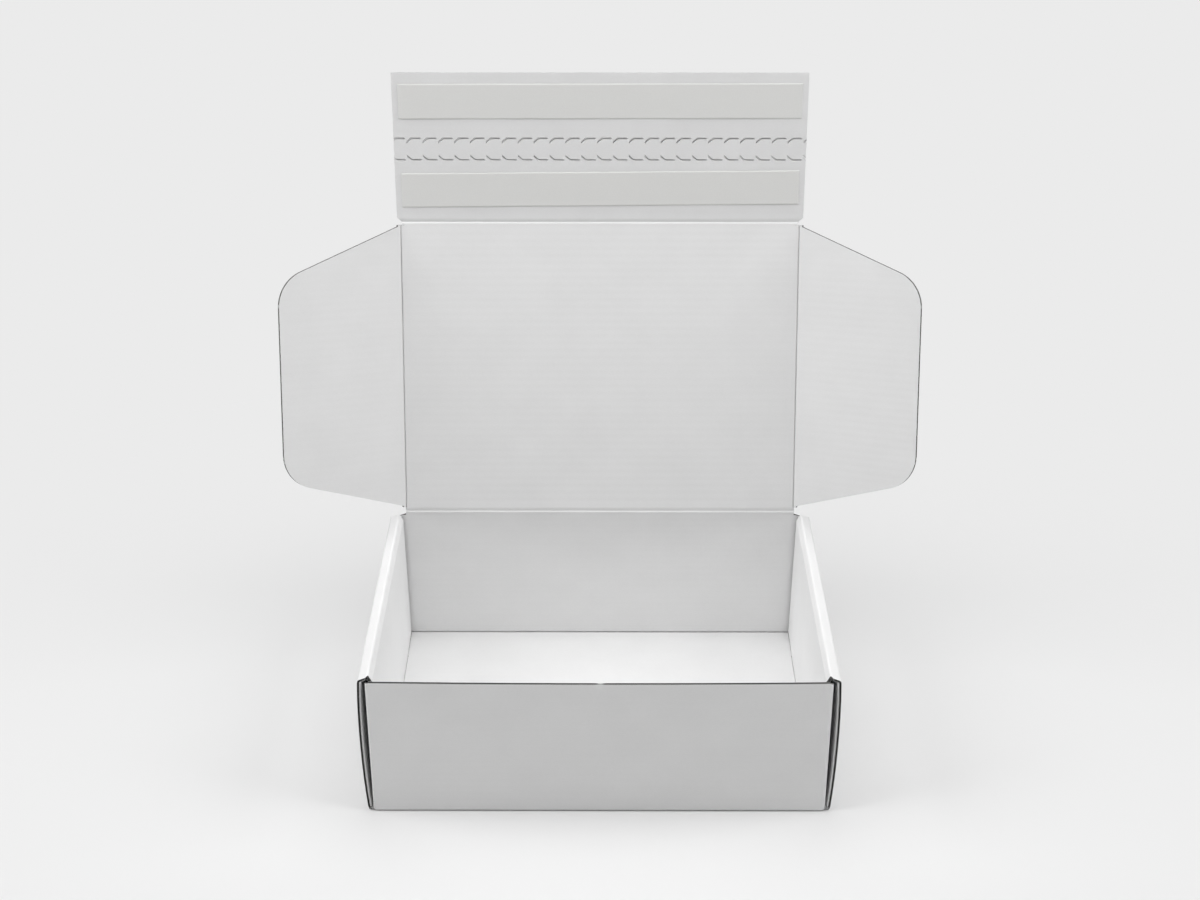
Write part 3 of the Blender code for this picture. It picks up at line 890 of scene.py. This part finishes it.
def dust_flap_ends(out):
    """Foot and head of a dust flap at a distance from its crease, along the lid."""
    centre = DUST_FLAP_DEPTH - DUST_FLAP_CORNER
    ends = []
    for slant in (DUST_FLAP_FOOT_SLANT, DUST_FLAP_HEAD_SLANT):
        tangent = centre + DUST_FLAP_CORNER * math.sin(slant)
        if out <= tangent:
            ends.append(DUST_FLAP_END + max(0.0, out) * math.tan(slant))
        else:
            middle = centre * math.tan(slant) + DUST_FLAP_CORNER / math.cos(slant)
            drop = math.sqrt(max(0.0, DUST_FLAP_CORNER ** 2 - (out - centre) ** 2))
            ends.append(DUST_FLAP_END + middle - drop)
    return ends[0], LID_LENGTH - ends[1]


def make_dust_flap(name, side):
    """A dust flap from its crease to its free edge with two round corners."""
    centre = DUST_FLAP_DEPTH - DUST_FLAP_CORNER
    arcs = []
    for slant in (DUST_FLAP_FOOT_SLANT, DUST_FLAP_HEAD_SLANT):
        for step in range(11):
            angle = slant + (math.pi / 2 - slant) * step / 10
            arcs.append(centre + DUST_FLAP_CORNER * math.sin(angle))
    reach = levels([CREASE_REACH], arcs)
    u_levels = sorted(side * (DUST_HINGE_X + value) for value in reach)
    v_levels = [BLANK_HINGE + DUST_FLAP_END, BLANK_LID_END - DUST_FLAP_END]

    def limit(u, v):
        foot, head = dust_flap_ends(abs(u) - DUST_HINGE_X)
        return u, min(max(v, BLANK_HINGE + foot), BLANK_HINGE + head)

    out, inside = dust_directions(side)
    origin = HINGE + RIGHT * side * DUST_HINGE_X
    centre_u = side * DUST_HINGE_X
    fold = panel_fold(origin, out * side, LID_ALONG, inside, centre_u, BLANK_HINGE)
    mesh = flat_board(name + "_board", [(u_levels, v_levels, None, limit)])
    made = folded(name + "_board", mesh, fold, BOARD_FINISH)
    return finish_board(made, name, name)


def tear_path(start, end, level, slant):
    """Points along one knife cut: a slant that curves into a straight run."""
    tip = Vector((start, level - slant * CUT_RISE))
    bend = Vector((start + CUT_KNEE, level - slant * CUT_SAG))
    run = Vector((start + CUT_RUN, level))
    points = []
    for step in range(8):
        t = step / 7
        points.append(tip * (1 - t) ** 2 + bend * 2 * t * (1 - t) + run * t ** 2)
    return points + [Vector((end, level))]


def tear_blades():
    """Thin blades for every cut of the tear strip, through the whole board."""
    bm = bmesh.new()
    pitch = 2 * CLOSING_FLAP_HALF / TEAR_CUTS
    for level, slant in TEAR_LINES:
        for index in range(TEAR_CUTS + 1):
            start = (index - TEAR_CUTS / 2) * pitch + CUT_BRIDGE / 2 + TEAR_SHIFT
            path = tear_path(start, start + pitch - CUT_BRIDGE, BLANK_LID_END + level, slant)
            columns = len(path) - 1
            verts = bmesh.ops.create_grid(bm, x_segments=columns, y_segments=1, size=1.0)["verts"]
            for vert in verts:
                here = round((vert.co.x + 1) / 2 * columns)
                before, after = path[max(0, here - 1)], path[min(columns, here + 1)]
                heading = (after - before).normalized()
                side_step = Vector((-heading.y, heading.x)) * (vert.co.y * CUT_WIDTH / 2)
                vert.co = (path[here].x + side_step.x, path[here].y + side_step.y, -BOARD)
    made = bmesh.ops.extrude_face_region(bm, geom=bm.faces[:])
    raised = [item for item in made["geom"] if isinstance(item, bmesh.types.BMVert)]
    bmesh.ops.translate(bm, verts=raised, vec=(0.0, 0.0, 2 * BOARD))
    bmesh.ops.recalc_face_normals(bm, faces=bm.faces)
    for face in bm.faces:
        face.material_index = 2
    mesh = bpy.data.meshes.new("tear_blades")
    bm.to_mesh(mesh)
    bm.free()
    return mesh


def make_closing_flap():
    """The closing flap beyond its crease, with its tear strip perforated."""
    half = CLOSING_FLAP_HALF
    ends = [BLANK_LID_END + CREASE_REACH, BLANK_LID_END + CLOSING_FLAP_LENGTH]
    region = ([-half, half], ends, None, None)
    mesh = flat_board("closing_flap_board", [region], tear_blades())
    fold = panel_fold(LID_END, RIGHT, FLAP_ALONG, FLAP_INSIDE, 0.0, BLANK_LID_END)
    finishes = (PERFORATED_LINER, *BOARD_FINISH[1:])
    made = folded("closing_flap_board", mesh, fold, finishes)
    return finish_board(made, "closing_flap", "closing_flap")


# ---------------------------------------------------------------- creases


def pressed(reach, w, groove):
    """Height in the board after the crease rule has pressed a groove into its inside, of a
    depth, with a steep side and a gentle one."""
    depth, steep, gentle = groove
    if reach < 0:
        press = max(0.0, 1 + reach / steep)
    else:
        press = math.exp(-((reach / gentle) ** 2) / 2)
    inner, outer = depth * press, GROOVE_BACK * press
    share = (w + HALF_BOARD) / BOARD
    return w - share * inner + (1 - share) * outer


def make_crease(
    name, hinge, line, before, after, inside, long_way, centre, span, ends, shift, groove
):
    """A strip of board across a crease, folded between the two pieces that it joins.

    before points from the crease into the first piece, after into the second, inside is the
    first piece's inner side, line is the crease's direction, long_way is "u" or "v", the way the
    crease runs on the blank, centre its place across, span its two ends, ends a table of how far
    the strip's ends lie in, shift how far from the bend its groove is, and groove its size."""
    turned = Vector((after.dot(-before), after.dot(inside)))
    section = Section([(-CREASE_ARM, 0.0), (0.0, 0.0), turned * CREASE_ARM], [CREASE_RADIUS])
    middle = sum(section.corners[0]) / 2
    steps = levels(
        [CREASE_REACH * i / 7 for i in range(-7, 8)],
        [shift - groove[1] * step for step in (0.0, 0.5, 1.0)],
        [shift + groove[2] * step for step in (0.4, 0.8, 1.2, 1.8, 2.4)],
        [place for place, _ in ends],
    )
    cross = [centre[0] + centre[1] * step for step in steps]

    def limit(u, v):
        place, across = (u, v) if long_way == "u" else (v, u)
        inset = follow(ends, (across - centre[0]) * centre[1])
        place = min(max(place, span[0] + inset), span[1] - inset)
        return (place, across) if long_way == "u" else (across, place)

    def fold(u, v, w):
        place, across = (u, v) if long_way == "u" else (v, u)
        reach = (across - centre[0]) * centre[1]
        flat = section.place(middle + reach, pressed(reach - shift, w, groove))
        return hinge + line * (place - centre[2]) - before * flat.x + inside * flat.y

    region = (list(span), sorted(cross)) if long_way == "u" else (sorted(cross), list(span))
    mesh = flat_board(name, [(*region, None, limit)])
    made = folded(name, mesh, fold, BOARD_FINISH)
    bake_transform(made)
    return made


def make_creases():
    """The four creases that the lid and flaps turn about."""
    up = Vector((0.0, 0.0, 1.0))
    make_crease(
        "lid_crease", HINGE, RIGHT, -up, LID_ALONG, Vector((0.0, -1.0, 0.0)),
        "u", (BLANK_HINGE, 1, 0.0), (-LID_CREASE_HALF, LID_CREASE_HALF), ((0.0, 0.0),), 0.0,
        LID_GROOVE,
    )
    half = CLOSING_FLAP_HALF
    root_ends = (
        (-CREASE_REACH, half - LID_HALF_WIDTH),
        (-ROOT_DROP, ROOT_CUT),
        (ROOT_CUT - ROOT_DROP, 0.0),
    )
    make_crease(
        "closing_flap_crease", LID_END, RIGHT, -LID_ALONG, FLAP_ALONG, LID_INSIDE,
        "u", (BLANK_LID_END, 1, 0.0), (-half, half), root_ends,
        ROOT_CREASE_SHIFT, LID_GROOVE,
    )
    for side, name in ((-1, "dust_flap_left"), (1, "dust_flap_right")):
        out, _ = dust_directions(side)
        start = BLANK_HINGE + CREASE_REACH + SAME
        make_crease(
            name + "_crease", HINGE + RIGHT * side * DUST_HINGE_X, LID_ALONG, RIGHT * -side, out,
            LID_INSIDE, "v", (side * DUST_HINGE_X, side, BLANK_HINGE),
            (start, BLANK_LID_END - DUST_FLAP_END), ((0.0, 0.0),), 0.0, DUST_GROOVE,
        )


# ---------------------------------------------------------------- closure strips


def make_release_liner(which, centre, turn_deg):
    """A release liner that lies over its strip of adhesive, its edges close to the board."""
    half = [size / 2 for size in STRIP_SIZE]
    rim, rim_fall = PAPER_RIM
    height, along, phase = PAPER_RIPPLE
    bm = bmesh.new()
    columns, rows = (
        levels(
            [-size + i * size / steps for i in range(2 * steps + 1)],
            mirrored([size - rim * i / 5 for i in range(6)]),
        )
        for size, steps in zip(half, (60, 8))
    )
    sheet(bm, columns, rows)
    for vert in bm.verts:
        inward = min(half[0] - abs(vert.co.x), half[1] - abs(vert.co.y))
        fall = 1 - between(inward, 0.0, rim)
        lift = height * math.sin(vert.co.x * along + centre * phase)
        vert.co.z = HALF_BOARD + ADHESIVE_TOP + PAPER_GAP + lift - rim_fall * fall * fall
    made = bmesh.ops.extrude_face_region(bm, geom=bm.faces[:])
    raised = [item for item in made["geom"] if isinstance(item, bmesh.types.BMVert)]
    bmesh.ops.translate(bm, verts=raised, vec=(0.0, 0.0, PAPER))
    bmesh.ops.recalc_face_normals(bm, faces=bm.faces)
    for face in bm.faces:
        face.smooth = True
    name = "release_liner_" + which
    mesh = bpy.data.meshes.new(name + "_paper")
    bm.to_mesh(mesh)
    bm.free()
    mesh.set_sharp_from_angle(angle=math.radians(50))
    turn = Matrix.Rotation(math.radians(turn_deg), 2)

    def fold(u, v, w):
        flat = turn @ Vector((u, v))
        return LID_END + RIGHT * flat.x + FLAP_ALONG * (flat.y + centre) + FLAP_INSIDE * w

    made = folded(name + "_paper", mesh, fold, [RELEASE_PAPER])
    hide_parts(name)
    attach(made, "closing_flap")
    return made


make_tray()
make_lid()
make_dust_flap("dust_flap_left", -1)
make_dust_flap("dust_flap_right", 1)
make_closing_flap()
make_creases()
for strip in CLOSURE_STRIPS:
    make_release_liner(*strip)
for node in ("adhesive_strip_lower", "adhesive_strip_upper"):
    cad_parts[node].data.materials.clear()
    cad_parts[node].data.materials.append(ADHESIVE)


# ---------------------------------------------------------------- stage, light and camera


def make_floor():
    """A plain pale floor that fades into an even pale background."""
    bm = bmesh.new()
    bmesh.ops.create_grid(bm, x_segments=2, y_segments=2, size=FLOOR_HALF)
    mesh = bpy.data.meshes.new("studio_floor")
    bm.to_mesh(mesh)
    bm.free()
    floor = bpy.data.objects.new("studio_floor", mesh)
    bpy.context.scene.collection.objects.link(floor)
    material, tree, output = new_material("painted_studio_floor")
    coordinates = add(tree, "ShaderNodeTexCoord")
    centred = add(
        tree,
        "ShaderNodeMapping",
        {"Location": (0.0, -FADE_CENTRE_Y, 0.0)},
        {"Vector": coordinates.outputs["Object"]},
    )
    away = add(
        tree, "ShaderNodeVectorMath", links={0: centred.outputs["Vector"]}, operation="LENGTH"
    )
    far = add(
        tree,
        "ShaderNodeMapRange",
        {"From Min": FADE_START, "From Max": FADE_END, "To Min": 0.0, "To Max": 1.0},
        {"Value": away.outputs["Value"]},
        interpolation_type="SMOOTHSTEP",
    )
    rays = add(tree, "ShaderNodeLightPath")
    seen = add(
        tree,
        "ShaderNodeMath",
        links={0: far.outputs["Result"], 1: rays.outputs["Is Camera Ray"]},
        operation="MULTIPLY",
    )
    paint = add(tree, "ShaderNodeBsdfDiffuse", {"Color": linear("#eaeaea"), "Roughness": 0.5})
    glow = add(tree, "ShaderNodeEmission", {"Color": linear(BACKDROP), "Strength": 1.0})
    mixed = add(
        tree,
        "ShaderNodeMixShader",
        links={0: seen.outputs["Value"], 1: paint.outputs["BSDF"], 2: glow.outputs["Emission"]},
    )
    tree.links.new(mixed.outputs["Shader"], output.inputs["Surface"])
    mesh.materials.append(material)


def make_world():
    """Even pale surroundings: the background as the camera sees it, and a soft fill."""
    world = bpy.data.worlds.new("studio")
    bpy.context.scene.world = world
    world.use_nodes = True
    tree = world.node_tree
    tree.nodes.clear()
    output = add(tree, "ShaderNodeOutputWorld")
    rays = add(tree, "ShaderNodeLightPath")
    fill = add(tree, "ShaderNodeBackground", {"Color": linear("#ffffff"), "Strength": 0.01})
    backdrop = add(tree, "ShaderNodeBackground", {"Color": linear(BACKDROP), "Strength": 1.0})
    mixed = add(
        tree,
        "ShaderNodeMixShader",
        links={
            0: rays.outputs["Is Camera Ray"],
            1: fill.outputs["Background"],
            2: backdrop.outputs["Background"],
        },
    )
    tree.links.new(mixed.outputs["Shader"], output.inputs["Surface"])


# Softboxes: place, point aimed at, size in metres and power in watts
SOFTBOXES = {
    "overhead_softbox": ((0.0, -0.35, 2.1), (0.0, 0.0, 0.1), (2.0, 1.6), 21.5),
    "back_softbox": ((0.0, 0.9, 2.0), (0.0, 0.0, 0.2), (1.6, 0.8), 7.7),
    "front_softbox": ((0.0, -2.4, 1.2), (0.0, 0.0, 0.2), (2.4, 1.2), 4.0),
    "left_softbox": ((-1.7, -0.2, 1.5), (0.0, 0.0, 0.2), (1.4, 1.4), 25.2),
    "right_softbox": ((1.7, -0.2, 1.5), (0.0, 0.0, 0.2), (1.4, 1.4), 23.2),
}


def add_softbox(name, place, target, size, power):
    """A large soft lamp aimed at a point."""
    lamp = bpy.data.lights.new(name, "AREA")
    lamp.shape = "RECTANGLE"
    lamp.size, lamp.size_y = size
    lamp.energy = power
    made = bpy.data.objects.new(name, lamp)
    made.location = place
    made.rotation_euler = (Vector(target) - Vector(place)).to_track_quat("-Z", "Y").to_euler()
    bpy.context.scene.collection.objects.link(made)


LENS_MM = 54.75
CAMERA_PLACE = (0.00313, -1.2942, 0.9544)
CAMERA_TURN = (61.87, 0.0, 0.12)


def make_camera():
    """The photograph's viewpoint, in front of the box and above it."""
    lens = bpy.data.cameras.new("camera")
    lens.lens = LENS_MM
    lens.sensor_width = 36.0
    lens.clip_start, lens.clip_end = 0.05, 50.0
    camera = bpy.data.objects.new("camera", lens)
    camera.location = CAMERA_PLACE
    camera.rotation_euler = [math.radians(turn) for turn in CAMERA_TURN]
    bpy.context.scene.collection.objects.link(camera)
    bpy.context.scene.camera = camera


make_floor()
make_world()
for name, settings in SOFTBOXES.items():
    add_softbox(name, *settings)
make_camera()

scene = bpy.context.scene
scene.view_settings.view_transform = "Standard"
